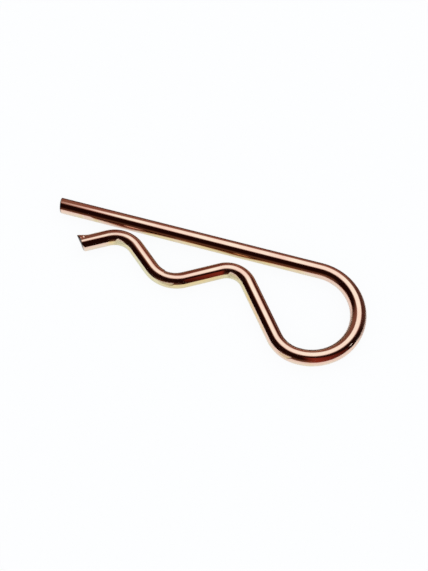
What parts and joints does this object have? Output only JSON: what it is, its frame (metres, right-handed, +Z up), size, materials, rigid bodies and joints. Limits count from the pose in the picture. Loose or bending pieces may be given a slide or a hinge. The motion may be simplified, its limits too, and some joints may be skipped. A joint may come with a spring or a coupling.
{
  "type": "hitch r clip pin",
  "caption": "Bent spring-wire R clip: a straight leg, a round loop and a waved leg whose valley snaps round a hitch pin to keep it from pulling out.",
  "frame": {"origin": "middle of the clip's plan, on the surface that it lies on", "axes": "+X along the straight leg from its free end towards the loop, +Z up through the wire's thickness, and +Y from the waved leg towards the straight leg"},
  "size_m": [0.0832, 0.0276, 0.004],
  "materials": {
    "yellow_zinc_plate": "gloss"
  },
  "bodies": {
    "root": {"r_clip": "yellow_zinc_plate"}
  },
  "joints": []
}
